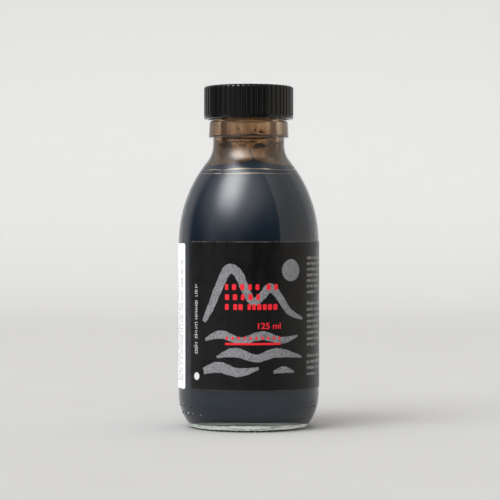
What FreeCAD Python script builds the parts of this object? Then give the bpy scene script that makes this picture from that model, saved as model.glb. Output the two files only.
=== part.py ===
import FreeCAD, Part
import math
import os
import Sketcher

# Ink bottle, 125 ml: a round clear glass bottle with a 28 mm screw finish, a
# ribbed moulded screw cap with a two-layer liner, the ink it holds, a black
# wrap label and a white sticker.
#
# Row frame: millimetres, +Z up, origin at the centre of the base on the plane
# that the bottle stands on. The front of the label faces -Y. Angles of the
# labels and marks are counted from the front (-Y) towards +X.

doc = FreeCAD.newDocument("ink_bottle")
V = FreeCAD.Vector

# ---------------------------------------------------------------- dimensions
ROWS = [
    # glass body
    ("body_radius", 24.55, "outer radius of the straight body"),
    ("inner_radius", 22.45, "inner radius of the straight body"),
    ("heel_height", 12.0, "height where the heel arc meets the straight body"),
    ("heel_radius", 18.0, "radius of the heel arc"),
    ("foot_radius", 1.3, "radius between heel arc and bearing ring"),
    ("bearing_inner", 17.3, "inner radius of the bearing ring"),
    ("pushup_height", 3.0, "height of the base dome at the axis"),
    ("shoulder_height", 64.5, "height where the shoulder arc leaves the body"),
    ("shoulder_radius", 45.0, "radius of the outer shoulder arc"),
    ("shoulder_inner", 42.9, "radius of the inner shoulder arc"),
    ("neck_radius", 12.5, "outer radius of the neck"),
    ("neck_blend", 8.8, "outer radius between shoulder and neck"),
    ("neck_blend_inner", 11.0, "inner radius between shoulder and bore"),
    ("inner_heel_height", 11.2, "height where the inner heel arc starts"),
    ("inner_heel_radius", 6.9, "radius of the inner heel arc"),
    ("inner_dome", 6.4, "height of the inside bottom at the axis"),
    # finish
    ("bead_under", 100.95, "height of the bead underside at the neck"),
    ("bead_bottom", 101.1, "height of the bead underside at its edge"),
    ("bead_radius", 14.0, "radius of the bead at its foot"),
    ("bead_top_radius", 13.74, "radius of the bead at its top"),
    ("bead_shoulder", 106.35, "height where the bead's top chamfer starts"),
    ("bead_top", 106.8, "height of the bead's top face"),
    ("finish_radius", 12.5, "root radius of the thread"),
    ("mouth_height", 116.0, "height of the sealing land"),
    ("lip_outer", 0.8, "outer radius of the lip"),
    ("lip_inner", 0.6, "inner radius of the lip"),
    ("bore_radius", 9.75, "radius of the bore"),
    # thread
    ("thread_lead", 3.175, "rise per turn, one start, right-handed"),
    ("thread_height", 1.2, "height of the glass thread"),
    ("thread_root_width", 2.2, "width of the glass thread at its root"),
    ("thread_crest_width", 0.9, "width of the glass thread at its crest"),
    ("thread_first", 108.55, "height of the glass thread's lower end"),
    ("thread_turns", 1.6, "turns of the glass thread"),
    ("cap_thread_height", 1.15, "height of the cap thread"),
    ("cap_thread_root", 1.6, "width of the cap thread at its root"),
    ("cap_thread_crest", 0.7, "width of the cap thread at its crest"),
    ("cap_thread_drop", 1.36, "cap thread below the glass thread"),
    # base knurl
    ("knurl_count", 60, "bars on the bearing ring"),
    ("knurl_gap", 0.75, "gap between two bars"),
    ("knurl_depth", 0.35, "height of the bars"),
    # heel dots
    ("dot_radius", 0.62, "radius of a raised mould dot at its foot"),
    ("dot_sink", 0.4, "depth of a dot's foot under the surface"),
    ("dot_rise", 0.3, "height of a dot above the surface"),
    # cap
    ("cap_radius", 15.62, "outer radius of the cap"),
    ("cap_bottom", 107.55, "height of the cap's lower rim"),
    ("cap_top", 119.0, "height of the cap's top"),
    ("cap_edge", 1.0, "radius of the cap's top edge"),
    ("cap_bore", 14.1, "inner radius of the cap's skirt"),
    ("cap_ceiling", 117.4, "height of the inside of the cap's top"),
    ("cap_lead_in", 0.4, "chamfer at the skirt's mouth"),
    ("cap_rim_edge", 0.25, "chamfer at the rim's outer edge"),
    ("cap_dish_radius", 12.2, "radius of the shallow dish in the top"),
    ("cap_dish_depth", 0.25, "depth of the shallow dish in the top"),
    ("gate_radius", 0.9, "radius of the moulding gate mark"),
    ("gate_height", 0.15, "height of the moulding gate mark"),
    ("flute_count", 54, "flutes round the cap"),
    ("flute_cutter", 0.66, "radius of the flutes"),
    ("flute_depth", 0.34, "depth of the flutes"),
    ("flute_foot", 108.5, "height of the flutes' lower end"),
    # liner
    ("liner_radius", 13.75, "radius of both liner discs"),
    ("liner_split", 116.3, "height between facing and backing"),
    # ink
    ("ink_level", 87.4, "height of the ink"),
    ("ink_gap", 0.03, "clearance of the ink's solid to the glass"),
    # labels
    ("adhesive", 0.02, "thickness of the adhesive"),
    ("label_thickness", 0.10, "thickness of the labels' film"),
    ("label_bottom", 14.4, "height of the label's lower edge"),
    ("label_top", 65.0, "height of the label's upper edge"),
    ("label_start", -53.7, "angle of the label's left edge, degrees"),
    ("label_sweep", 200.0, "angle that the label covers, degrees"),
    ("label_corner", 1.0, "corner radius of the label"),
    ("sticker_bottom", 14.1, "height of the sticker's lower edge"),
    ("sticker_top", 64.3, "height of the sticker's upper edge"),
    ("sticker_start", -132.6, "angle of the sticker's back edge, degrees"),
    ("sticker_sweep", 70.0, "angle that the sticker covers, degrees"),
    ("sticker_corner", 1.2, "corner radius of the sticker"),
]

sheet = doc.addObject("Spreadsheet::Sheet", "Dims")
sheet.Label = "Dims"
for i, (alias, value, note) in enumerate(ROWS, start=1):
    sheet.set(f"A{i}", note)
    sheet.set(f"B{i}", str(value))
    sheet.setAlias(f"B{i}", alias)
doc.recompute()
D = {alias: float(sheet.get(alias)) for alias, _, _ in ROWS}


# ------------------------------------------------------------------- helpers
def origin_plane(body, role):
    return [f for f in body.Origin.OriginFeatures if f.Role == role][0]


def new_body(name):
    body = doc.addObject("PartDesign::Body", name)
    doc.recompute()
    return body


class Profile:
    """A chain of lines and arcs in a sketch, with its constraints."""

    def __init__(self, body, name, plane="XZ_Plane", offset=None):
        self.sketch = body.newObject("Sketcher::SketchObject", name)
        self.sketch.AttachmentSupport = [(origin_plane(body, plane), "")]
        self.sketch.MapMode = "FlatFace"
        if offset:
            self.sketch.setExpression("AttachmentOffset.Base.z", offset)
        self.names = 0

    def line(self, a, b):
        g = self.sketch.addGeometry(Part.LineSegment(V(*a, 0), V(*b, 0)), False)
        return (g, 1, 2)

    def arc(self, a, b, centre, ccw):
        """Arc from a to b about centre; returns (geometry, point at a, point at b)."""
        r = math.hypot(a[0] - centre[0], a[1] - centre[1])
        ta = math.atan2(a[1] - centre[1], a[0] - centre[0])
        tb = math.atan2(b[1] - centre[1], b[0] - centre[0])
        lo, hi = (ta, tb) if ccw else (tb, ta)
        while hi <= lo:
            hi += 2 * math.pi
        circle = Part.Circle(V(*centre, 0), V(0, 0, 1), r)
        g = self.sketch.addGeometry(Part.ArcOfCircle(circle, lo, hi), False)
        return (g, 1, 2) if ccw else (g, 2, 1)

    def add(self, *args):
        return self.sketch.addConstraint(Sketcher.Constraint(*args))

    def join(self, first, second, tangent=False):
        if tangent:
            self.add("Tangent", first[0], first[2], second[0], second[1])
        else:
            self.add("Coincident", first[0], first[2], second[0], second[1])

    def bind(self, kind, args, value, expression):
        i = self.sketch.addConstraint(Sketcher.Constraint(kind, *args, value))
        self.names += 1
        name = f"size_{self.names}"
        self.sketch.renameConstraint(i, name)
        self.sketch.setExpression(f"Constraints.{name}", expression)

    def x(self, piece, end, expression, value):
        self.bind("DistanceX", (-1, 1, piece[0], piece[end]), value, expression)

    def y(self, piece, end, expression, value):
        self.bind("DistanceY", (-1, 1, piece[0], piece[end]), value, expression)

    def on_axis(self, piece, end):
        self.add("PointOnObject", piece[0], piece[end], -2)

    def on_base(self, piece, end):
        self.add("PointOnObject", piece[0], piece[end], -1)

    def radius(self, piece, expression, value):
        self.bind("Radius", (piece[0],), value, expression)

    def vertical(self, piece):
        self.add("Vertical", piece[0])

    def horizontal(self, piece):
        self.add("Horizontal", piece[0])

    def done(self):
        doc.recompute()
        if self.sketch.solve() != 0:
            raise SystemExit(f"sketch {self.sketch.Name} doesn't solve")
        return self.sketch


def revolve(body, sketch, name):
    f = body.newObject("PartDesign::Revolution", name)
    f.Profile = sketch
    f.ReferenceAxis = (sketch, ["V_Axis"])
    f.Angle = 360.0
    sketch.Visibility = False
    doc.recompute()
    return f


def polar_pattern(body, feature, name, count_expression):
    p = body.newObject("PartDesign::PolarPattern", name)
    p.Originals = [feature]
    p.Axis = (origin_plane(body, "Z_Axis"), [""])
    p.Angle = 360.0
    p.setExpression("Occurrences", count_expression)
    body.Tip = p
    doc.recompute()
    return p


def shrink(feature, before, what):
    after = feature.Shape.Volume
    if not after < before - 1e-6:
        raise SystemExit(f"{what} cut nothing")
    return after


# -------------------------------------------------------- the glass's profile
def tangent_height(r_line, r_blend, body_r, big, z0):
    """Height of the centre of an arc of radius r_blend that touches the vertical at r_line and the shoulder arc."""
    dx = (r_line + r_blend) - (body_r - big)
    return z0 + math.sqrt((big + r_blend) ** 2 - dx ** 2)


def touch(c1, r1, c2, r2):
    k = r1 / (r1 + r2)
    return (c1[0] + (c2[0] - c1[0]) * k, c1[1] + (c2[1] - c1[1]) * k)


body_r, z_sh = D["body_radius"], D["shoulder_height"]
c_sh = (body_r - D["shoulder_radius"], z_sh)
z_neck = tangent_height(D["neck_radius"], D["neck_blend"], body_r, D["shoulder_radius"], z_sh)
c_neck = (D["neck_radius"] + D["neck_blend"], z_neck)
p_out = touch(c_sh, D["shoulder_radius"], c_neck, D["neck_blend"])

in_r = D["inner_radius"]
c_shi = (in_r - D["shoulder_inner"], z_sh)
z_bore = tangent_height(D["bore_radius"], D["neck_blend_inner"], in_r, D["shoulder_inner"], z_sh)
c_bore = (D["bore_radius"] + D["neck_blend_inner"], z_bore)
p_in = touch(c_shi, D["shoulder_inner"], c_bore, D["neck_blend_inner"])

# foot: the small arc touches the base plane and the heel arc from inside
c_heel = (body_r - D["heel_radius"], D["heel_height"])
drop = D["heel_height"] - D["foot_radius"]
reach = D["heel_radius"] - D["foot_radius"]
c_foot = (c_heel[0] + math.sqrt(reach ** 2 - drop ** 2), D["foot_radius"])
k_foot = D["heel_radius"] / reach
p_foot = (c_heel[0] + (c_foot[0] - c_heel[0]) * k_foot, c_heel[1] + (c_foot[1] - c_heel[1]) * k_foot)


def dome_centre(r, z_edge, z_top):
    h = z_top - z_edge
    big = (r * r + h * h) / (2 * h)
    return (0.0, z_top - big)


def inner_outline(P, gap, gap_expression):
    """The inside of the bottle from the base's axis point up to the shoulder arc, taken in by gap."""
    g = gap_expression
    r_wall = in_r - gap
    r_heel = D["inner_heel_radius"] - gap
    z_heel = D["inner_heel_height"]
    low = (r_wall - r_heel, z_heel - r_heel)
    top = (0.0, D["inner_dome"] + gap)
    dome = P.arc(top, low, dome_centre(low[0], low[1], top[1]), False)
    heel = P.arc(low, (r_wall, z_heel), (r_wall - r_heel, z_heel), True)
    wall = P.line((r_wall, z_heel), (r_wall, z_sh))
    P.on_axis(dome, 1)
    P.y(dome, 1, f"Dims.inner_dome{g}", top[1])
    P.add("PointOnObject", dome[0], 3, -2)
    P.join(dome, heel)
    P.radius(heel, f"Dims.inner_heel_radius{g.replace('+', '-')}", r_heel)
    P.join(heel, wall, True)
    # the heel arc ends straight below its own centre
    P.add("Vertical", heel[0], heel[1], heel[0], 3)
    P.y(wall, 1, "Dims.inner_heel_height", z_heel)
    P.x(wall, 2, f"Dims.inner_radius{g.replace('+', '-')}", r_wall)
    P.vertical(wall)
    P.y(wall, 2, "Dims.shoulder_height", z_sh)
    return dome, wall


# ------------------------------------------------------------- glass_bottle
glass = new_body("GlassBody")
P = Profile(glass, "GlassProfile", "YZ_Plane")
under = P.arc((0.0, D["pushup_height"]), (D["bearing_inner"], 0.0), dome_centre(D["bearing_inner"], 0.0, D["pushup_height"]), False)
bearing = P.line((D["bearing_inner"], 0.0), (c_foot[0], 0.0))
foot = P.arc((c_foot[0], 0.0), p_foot, c_foot, True)
heel = P.arc(p_foot, (body_r, D["heel_height"]), c_heel, True)
side = P.line((body_r, D["heel_height"]), (body_r, z_sh))
shoulder = P.arc((body_r, z_sh), p_out, c_sh, True)
blend = P.arc(p_out, (D["neck_radius"], z_neck), c_neck, False)
neck = P.line((D["neck_radius"], z_neck), (D["neck_radius"], D["bead_under"]))
bead_pts = [
    (D["neck_radius"], D["bead_under"]),
    (D["bead_radius"] - 0.15, D["bead_bottom"]),
    (D["bead_radius"], D["bead_bottom"] + 0.2),
    (D["bead_top_radius"], D["bead_shoulder"]),
    (D["bead_top_radius"] - 0.45, D["bead_top"]),
    (D["finish_radius"], D["bead_top"]),
    (D["finish_radius"], D["mouth_height"] - D["lip_outer"]),
]
bead = [P.line(a, b) for a, b in zip(bead_pts[:-1], bead_pts[1:])]
m, lo_, li_ = D["mouth_height"], D["lip_outer"], D["lip_inner"]
lip_out = P.arc((D["finish_radius"], m - lo_), (D["finish_radius"] - lo_, m), (D["finish_radius"] - lo_, m - lo_), True)
land = P.line((D["finish_radius"] - lo_, m), (D["bore_radius"] + li_, m))
lip_in = P.arc((D["bore_radius"] + li_, m), (D["bore_radius"], m - li_), (D["bore_radius"] + li_, m - li_), True)
bore = P.line((D["bore_radius"], m - li_), (D["bore_radius"], z_bore))
blend_in = P.arc((D["bore_radius"], z_bore), p_in, c_bore, True)
shoulder_in = P.arc(p_in, (in_r, z_sh), c_shi, False)

P.on_axis(under, 1)
P.y(under, 1, "Dims.pushup_height", D["pushup_height"])
P.add("PointOnObject", under[0], 3, -2)
P.join(under, bearing)
P.on_base(bearing, 1)
P.x(bearing, 1, "Dims.bearing_inner", D["bearing_inner"])
P.horizontal(bearing)
P.join(bearing, foot, True)
P.radius(foot, "Dims.foot_radius", D["foot_radius"])
P.join(foot, heel, True)
P.radius(heel, "Dims.heel_radius", D["heel_radius"])
P.join(heel, side, True)
P.vertical(side)
P.y(side, 1, "Dims.heel_height", D["heel_height"])
P.x(side, 2, "Dims.body_radius", body_r)
P.y(side, 2, "Dims.shoulder_height", z_sh)
P.join(side, shoulder, True)
P.radius(shoulder, "Dims.shoulder_radius", D["shoulder_radius"])
P.join(shoulder, blend, True)
P.radius(blend, "Dims.neck_blend", D["neck_blend"])
P.join(blend, neck, True)
P.vertical(neck)
P.x(neck, 2, "Dims.neck_radius", D["neck_radius"])
P.y(neck, 2, "Dims.bead_under", D["bead_under"])
P.join(neck, bead[0])
for first, second in zip(bead[:-1], bead[1:]):
    P.join(first, second)
names = [
    ("Dims.bead_radius-0.15", "Dims.bead_bottom"),
    ("Dims.bead_radius", "Dims.bead_bottom+0.2"),
    ("Dims.bead_top_radius", "Dims.bead_shoulder"),
    ("Dims.bead_top_radius-0.45", "Dims.bead_top"),
]
for piece, pt, (ex, ey) in zip(bead[:4], bead_pts[1:5], names):
    P.x(piece, 2, ex, pt[0])
    P.y(piece, 2, ey, pt[1])
P.horizontal(bead[4])
P.vertical(bead[5])
P.x(bead[5], 2, "Dims.finish_radius", D["finish_radius"])
P.join(bead[5], lip_out, True)
P.radius(lip_out, "Dims.lip_outer", lo_)
P.join(lip_out, land, True)
P.horizontal(land)
P.y(land, 2, "Dims.mouth_height", m)
P.join(land, lip_in, True)
P.radius(lip_in, "Dims.lip_inner", li_)
P.join(lip_in, bore, True)
P.vertical(bore)
P.x(bore, 2, "Dims.bore_radius", D["bore_radius"])
P.join(bore, blend_in, True)
P.radius(blend_in, "Dims.neck_blend_inner", D["neck_blend_inner"])
P.join(blend_in, shoulder_in, True)
P.radius(shoulder_in, "Dims.shoulder_inner", D["shoulder_inner"])
dome, wall = inner_outline(P, 0.0, "")
# the wall line runs up to the inner shoulder arc
P.add("Tangent", wall[0], wall[2], shoulder_in[0], shoulder_in[2])
axis_line = P.line((0.0, D["inner_dome"]), (0.0, D["pushup_height"]))
P.add("Coincident", axis_line[0], 1, dome[0], dome[1])
P.add("Coincident", axis_line[0], 2, under[0], under[1])
glass_sketch = P.done()
glass_turned = revolve(glass, glass_sketch, "GlassRevolution")
volume = glass_turned.Shape.Volume

# the knurl: gaps cut across the bearing ring leave short bars standing
K = Profile(glass, "KnurlProfile", "XY_Plane")
half = D["knurl_gap"] / 2
r0, r1 = D["bearing_inner"] - 0.4, D["bearing_inner"] + 4.6
k1 = K.line((r0, -half), (r1, -half))
k2 = K.line((r1, -half), (r1, half))
k3 = K.line((r1, half), (r0, half))
k4 = K.line((r0, half), (r0, -half))
for a, b in ((k1, k2), (k2, k3), (k3, k4), (k4, k1)):
    K.join(a, b)
K.horizontal(k1)
K.horizontal(k3)
K.vertical(k4)
K.x(k1, 1, "Dims.bearing_inner-0.4", r0)
K.x(k1, 2, "Dims.bearing_inner+4.6", r1)
K.bind("DistanceY", (k2[0], 1, k2[0], 2), D["knurl_gap"], "Dims.knurl_gap")
K.add("Symmetric", k2[0], 1, k2[0], 2, -1)
knurl_sketch = K.done()
gap_cut = glass.newObject("PartDesign::Pocket", "KnurlGap")
gap_cut.Profile = knurl_sketch
gap_cut.Type = 0
gap_cut.setExpression("Length", "Dims.knurl_depth")
gap_cut.Reversed = True
knurl_sketch.Visibility = False
doc.recompute()
volume = shrink(gap_cut, volume, "the knurl's gap")
knurl = polar_pattern(glass, gap_cut, "KnurlPattern", "Dims.knurl_count")
volume = shrink(knurl, volume, "the knurl's pattern")


def ridge(root_r, height, root_w, crest_w, z_first, turns, lead, start_deg, inward, fade_deg):
    """A helical thread, lofted through axial sections, that runs out into the wall at both ends."""
    steps = int(round(turns * 360 / 9.0))
    sign = -1.0 if inward else 1.0
    sections = []
    for i in range(steps + 1):
        deg = turns * 360.0 * i / steps
        from_end = min(deg, turns * 360.0 - deg)
        k = min(1.0, from_end / fade_deg)
        k = k * k * (3 - 2 * k)
        tall = -0.08 + (height + 0.08) * k
        z = z_first + lead * deg / 360.0
        a = math.radians(start_deg + deg)
        slope = (root_w - crest_w) / 2 / height
        wide_base = root_w / 2 * (0.55 + 0.45 * k)
        sink = 0.35
        wide_crest = max(0.16, wide_base - slope * tall) if tall > 0 else wide_base * 0.9
        pts = [
            (root_r - sign * sink, -wide_base - 0.02),
            (root_r + sign * tall * 0.72, -wide_crest - slope * abs(tall) * 0.10),
            (root_r + sign * tall, -wide_crest * 0.42),
            (root_r + sign * tall, wide_crest * 0.42),
            (root_r + sign * tall * 0.72, wide_crest + slope * abs(tall) * 0.10),
            (root_r - sign * sink, wide_base + 0.02),
        ]
        ring = [V(r * math.cos(a), r * math.sin(a), z + dz) for r, dz in pts]
        ring.append(ring[0])
        sections.append(Part.makePolygon(ring))
    solid = Part.makeLoft(sections, True, False, False)
    if solid.Volume < 0:
        solid.reverse()
    return solid


def feature(name, shape):
    f = doc.addObject("Part::Feature", name)
    f.Shape = shape
    return f


glass_thread = feature(
    "GlassThread",
    ridge(
        D["finish_radius"], D["thread_height"], D["thread_root_width"], D["thread_crest_width"],
        D["thread_first"], D["thread_turns"], D["thread_lead"], -60.0, False, 36.0,
    ),
)


def heel_placement(angle_deg, z, sink):
    """A placement sunk below the heel's surface, with +Z along the surface's normal."""
    dz = z - c_heel[1]
    r = c_heel[0] + math.sqrt(D["heel_radius"] ** 2 - dz ** 2)
    nx, nz = (r - c_heel[0]) / D["heel_radius"], dz / D["heel_radius"]
    r, z = r - nx * sink, z - nz * sink
    a = math.radians(angle_deg)
    out = V(math.sin(a), -math.cos(a), 0)
    turn = FreeCAD.Rotation(V(0, 0, 1), out * nx + V(0, 0, nz))
    return FreeCAD.Placement(out * r + V(0, 0, z), turn)


# raised mould dots: two rows low on the left, one on the right
DOTS = [(-79, 8.4), (-72, 8.3), (-67, 8.3), (-57, 8.2), (-50, 8.3)]
DOTS += [(-76, 5.7), (-69, 5.6), (-62, 5.6), (-55, 5.6), (-45, 5.5)]
DOTS += [(57, 8.0), (63, 8.2), (69, 8.3)]
dots = []
for n, (angle, z) in enumerate(DOTS, start=1):
    s = doc.addObject("Part::Cone", f"MouldDot{n}")
    s.setExpression("Radius1", "Dims.dot_radius")
    s.setExpression("Radius2", "Dims.dot_radius*0.6")
    s.setExpression("Height", "Dims.dot_sink+Dims.dot_rise")
    s.Placement = heel_placement(angle, z, D["dot_sink"])
    dots.append(s)

glass_bottle = doc.addObject("Part::MultiFuse", "GlassBottle")
glass_bottle.Shapes = [glass, glass_thread] + dots
glass_bottle.Label = "glass_bottle"
doc.recompute()

# ---------------------------------------------------------------------- ink
ink = new_body("InkBody")
I = Profile(ink, "InkProfile")
gap = D["ink_gap"]
dome, wall = inner_outline(I, gap, "+Dims.ink_gap")
big = D["shoulder_inner"] - gap
c_ink = (in_r - gap - big, z_sh)
level = D["ink_level"]
x_level = c_ink[0] + math.sqrt(big ** 2 - (level - z_sh) ** 2)
arch = I.arc((in_r - gap, z_sh), (x_level, level), c_ink, True)
surface = I.line((x_level, level), (0.0, level))
core = I.line((0.0, level), (0.0, D["inner_dome"] + gap))
I.join(wall, arch, True)
I.radius(arch, "Dims.shoulder_inner-Dims.ink_gap", big)
I.join(arch, surface)
I.horizontal(surface)
I.on_axis(surface, 2)
I.y(surface, 2, "Dims.ink_level", level)
I.join(surface, core)
I.add("Coincident", core[0], 2, dome[0], dome[1])
ink_sketch = I.done()
revolve(ink, ink_sketch, "InkRevolution")
ink.Label = "ink"

# ---------------------------------------------------------------- cap_shell
cap = new_body("CapBody")
C = Profile(cap, "CapProfile")
cr, cb, ct, ce = D["cap_radius"], D["cap_bottom"], D["cap_top"], D["cap_edge"]
dish, deep = D["cap_dish_radius"], D["cap_dish_depth"]
gr, gh = D["gate_radius"], D["gate_height"]
cap_pts = [
    (0.0, D["cap_ceiling"]),
    (D["cap_bore"], D["cap_ceiling"]),
    (D["cap_bore"], cb + D["cap_lead_in"]),
    (D["cap_bore"] + D["cap_lead_in"], cb),
    (cr - D["cap_rim_edge"], cb),
    (cr, cb + D["cap_rim_edge"]),
    (cr, ct - ce),
]
cap_lines = [C.line(a, b) for a, b in zip(cap_pts[:-1], cap_pts[1:])]
edge = C.arc((cr, ct - ce), (cr - ce, ct), (cr - ce, ct - ce), True)
top_pts = [
    (cr - ce, ct),
    (dish, ct),
    (dish - deep, ct - deep),
    (gr, ct - deep),
    (gr - 0.1, ct - deep + gh),
    (0.0, ct - deep + gh),
    (0.0, D["cap_ceiling"]),
]
top_lines = [C.line(a, b) for a, b in zip(top_pts[:-1], top_pts[1:])]
for a, b in zip(cap_lines[:-1], cap_lines[1:]):
    C.join(a, b)
C.join(cap_lines[-1], edge, True)
C.radius(edge, "Dims.cap_edge", ce)
C.join(edge, top_lines[0], True)
for a, b in zip(top_lines[:-1], top_lines[1:]):
    C.join(a, b)
C.add("Coincident", top_lines[-1][0], 2, cap_lines[0][0], 1)
C.on_axis(cap_lines[0], 1)
C.y(cap_lines[0], 1, "Dims.cap_ceiling", D["cap_ceiling"])
C.horizontal(cap_lines[0])
C.x(cap_lines[0], 2, "Dims.cap_bore", D["cap_bore"])
C.vertical(cap_lines[1])
C.y(cap_lines[1], 2, "Dims.cap_bottom+Dims.cap_lead_in", cap_pts[2][1])
C.x(cap_lines[2], 2, "Dims.cap_bore+Dims.cap_lead_in", cap_pts[3][0])
C.y(cap_lines[2], 2, "Dims.cap_bottom", cb)
C.horizontal(cap_lines[3])
C.x(cap_lines[3], 2, "Dims.cap_radius-Dims.cap_rim_edge", cap_pts[4][0])
C.x(cap_lines[4], 2, "Dims.cap_radius", cr)
C.y(cap_lines[4], 2, "Dims.cap_bottom+Dims.cap_rim_edge", cap_pts[5][1])
C.vertical(cap_lines[5])
C.horizontal(top_lines[0])
C.x(top_lines[0], 2, "Dims.cap_dish_radius", dish)
C.y(top_lines[0], 2, "Dims.cap_top", ct)
C.x(top_lines[1], 2, "Dims.cap_dish_radius-Dims.cap_dish_depth", dish - deep)
C.y(top_lines[1], 2, "Dims.cap_top-Dims.cap_dish_depth", ct - deep)
C.horizontal(top_lines[2])
C.x(top_lines[2], 2, "Dims.gate_radius", gr)
C.x(top_lines[3], 2, "Dims.gate_radius-0.1", gr - 0.1)
C.y(top_lines[3], 2, "Dims.cap_top-Dims.cap_dish_depth+Dims.gate_height", ct - deep + gh)
C.horizontal(top_lines[4])
C.on_axis(top_lines[4], 2)
cap_sketch = C.done()
cap_turned = revolve(cap, cap_sketch, "CapRevolution")
volume = cap_turned.Shape.Volume

# flutes: round grooves cut from above the top down to the plain rim
F = Profile(cap, "FluteProfile", "XY_Plane", "Dims.flute_foot")
centre_r = cr + D["flute_cutter"] - D["flute_depth"]
# one flute's middle lies on +X, so that the rib beside it faces the front
g = F.sketch.addGeometry(Part.Circle(V(centre_r, 0, 0), V(0, 0, 1), D["flute_cutter"]), False)
F.bind("Radius", (g,), D["flute_cutter"], "Dims.flute_cutter")
F.bind("DistanceX", (-1, 1, g, 3), centre_r, "Dims.cap_radius+Dims.flute_cutter-Dims.flute_depth")
F.add("PointOnObject", g, 3, -1)
flute_sketch = F.done()
flute = cap.newObject("PartDesign::Pocket", "Flute")
flute.Profile = flute_sketch
flute.Type = 0
flute.setExpression("Length", "Dims.cap_top-Dims.flute_foot+1")
flute.Reversed = True
flute_sketch.Visibility = False
doc.recompute()
volume = shrink(flute, volume, "the flute")
flutes = polar_pattern(cap, flute, "FlutePattern", "Dims.flute_count")
volume = shrink(flutes, volume, "the flutes' pattern")

cap_thread = feature(
    "CapThread",
    ridge(
        D["cap_bore"], D["cap_thread_height"], D["cap_thread_root"], D["cap_thread_crest"],
        D["thread_first"] - D["cap_thread_drop"] + D["thread_lead"] * 0.62, 1.45, D["thread_lead"],
        -60.0 + 0.62 * 360.0, True, 30.0,
    ),
)
cap_shell = doc.addObject("Part::Fuse", "CapShell")
cap_shell.Base = cap
cap_shell.Tool = cap_thread
cap_shell.Label = "cap_shell"
doc.recompute()


# ------------------------------------------------------------------- liners
def disc(name, label, foot_expression, height_expression):
    body = new_body(name)
    S = Profile(body, name + "Profile", "XY_Plane", foot_expression)
    g = S.sketch.addGeometry(Part.Circle(V(0, 0, 0), V(0, 0, 1), D["liner_radius"]), False)
    S.add("Coincident", g, 3, -1, 1)
    S.bind("Radius", (g,), D["liner_radius"], "Dims.liner_radius")
    sketch = S.done()
    pad = body.newObject("PartDesign::Pad", name + "Pad")
    pad.Profile = sketch
    pad.Type = 0
    pad.setExpression("Length", height_expression)
    sketch.Visibility = False
    body.Label = label
    doc.recompute()
    return body


liner_facing = disc("LinerFacing", "liner_facing", "Dims.mouth_height", "Dims.liner_split-Dims.mouth_height")
liner_backing = disc("LinerBacking", "liner_backing", "Dims.liner_split", "Dims.cap_ceiling-Dims.liner_split")


# ------------------------------------------------------------------- labels
def wrap(name, label, bottom, top, start, sweep, corner):
    """A film bent round the body: a thin section turned through the label's angle, with rounded corners."""
    body = new_body(name)
    S = Profile(body, name + "Profile")
    inner, outer = body_r + D["adhesive"], body_r + D["adhesive"] + D["label_thickness"]
    a = S.line((inner, D[bottom]), (outer, D[bottom]))
    b = S.line((outer, D[bottom]), (outer, D[top]))
    c = S.line((outer, D[top]), (inner, D[top]))
    d = S.line((inner, D[top]), (inner, D[bottom]))
    for p, q in ((a, b), (b, c), (c, d), (d, a)):
        S.join(p, q)
    S.horizontal(a)
    S.vertical(b)
    S.horizontal(c)
    S.vertical(d)
    S.x(a, 1, "Dims.body_radius+Dims.adhesive", inner)
    S.y(a, 1, f"Dims.{bottom}", D[bottom])
    S.x(a, 2, "Dims.body_radius+Dims.adhesive+Dims.label_thickness", outer)
    S.y(b, 2, f"Dims.{top}", D[top])
    sketch = S.done()
    f = body.newObject("PartDesign::Revolution", name + "Turn")
    f.Profile = sketch
    f.ReferenceAxis = (sketch, ["V_Axis"])
    f.setExpression("Angle", f"Dims.{sweep}")
    sketch.Visibility = False
    doc.recompute()
    # the four short edges that run through the film's thickness at its corners
    corners = []
    for n, e in enumerate(f.Shape.Edges, start=1):
        if abs(e.Length - D["label_thickness"]) < 1e-4:
            corners.append(f"Edge{n}")
    if len(corners) != 4:
        raise SystemExit(f"{name}: {len(corners)} corners")
    r = body.newObject("PartDesign::Fillet", name + "Corners")
    r.Base = (f, corners)
    r.setExpression("Radius", f"Dims.{corner}")
    body.Tip = r
    doc.recompute()
    # the section starts on +X, which is 90 degrees from the front; find which way it turned
    mid = f.Shape.CenterOfMass
    turned = 1.0 if math.atan2(mid.y, mid.x) > 0 or D[sweep] > 180 and mid.y > 0 else -1.0
    # angle from the front to the turn of the body about +Z
    first = D[start] - 90.0 if turned > 0 else D[start] + D[sweep] - 90.0
    body.Placement = FreeCAD.Placement(V(0, 0, 0), FreeCAD.Rotation(V(0, 0, 1), first))
    body.Label = label
    doc.recompute()
    return body


front_label = wrap("FrontLabel", "front_label", "label_bottom", "label_top", "label_start", "label_sweep", "label_corner")
back_sticker = wrap("BackSticker", "back_sticker", "sticker_bottom", "sticker_top", "sticker_start", "sticker_sweep", "sticker_corner")

# ------------------------------------------------------------ checks, export
doc.recompute()
for o in doc.Objects:
    if "Invalid" in o.State or "Error" in o.State:
        raise SystemExit(f"{o.Name} failed: {o.State}")

SUBPARTS = [glass_bottle, ink, cap_shell, liner_facing, liner_backing, front_label, back_sticker]
for o in SUBPARTS:
    s = o.Shape
    if s.isNull() or not s.isValid() or s.Volume <= 0:
        raise SystemExit(f"{o.Label} is not a valid solid")
    b = s.BoundBox
    print(
        f"{o.Label}: solids {len(s.Solids)}, faces {len(s.Faces)}, volume {s.Volume:.2f} mm3, "
        f"x {b.XMin:.2f}..{b.XMax:.2f} y {b.YMin:.2f}..{b.YMax:.2f} z {b.ZMin:.2f}..{b.ZMax:.2f}"
    )

os.makedirs("parts", exist_ok=True)
for o in SUBPARTS:
    o.Shape.exportStep(os.path.join("parts", o.Label + ".step"))
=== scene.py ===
import math
import random

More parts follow.
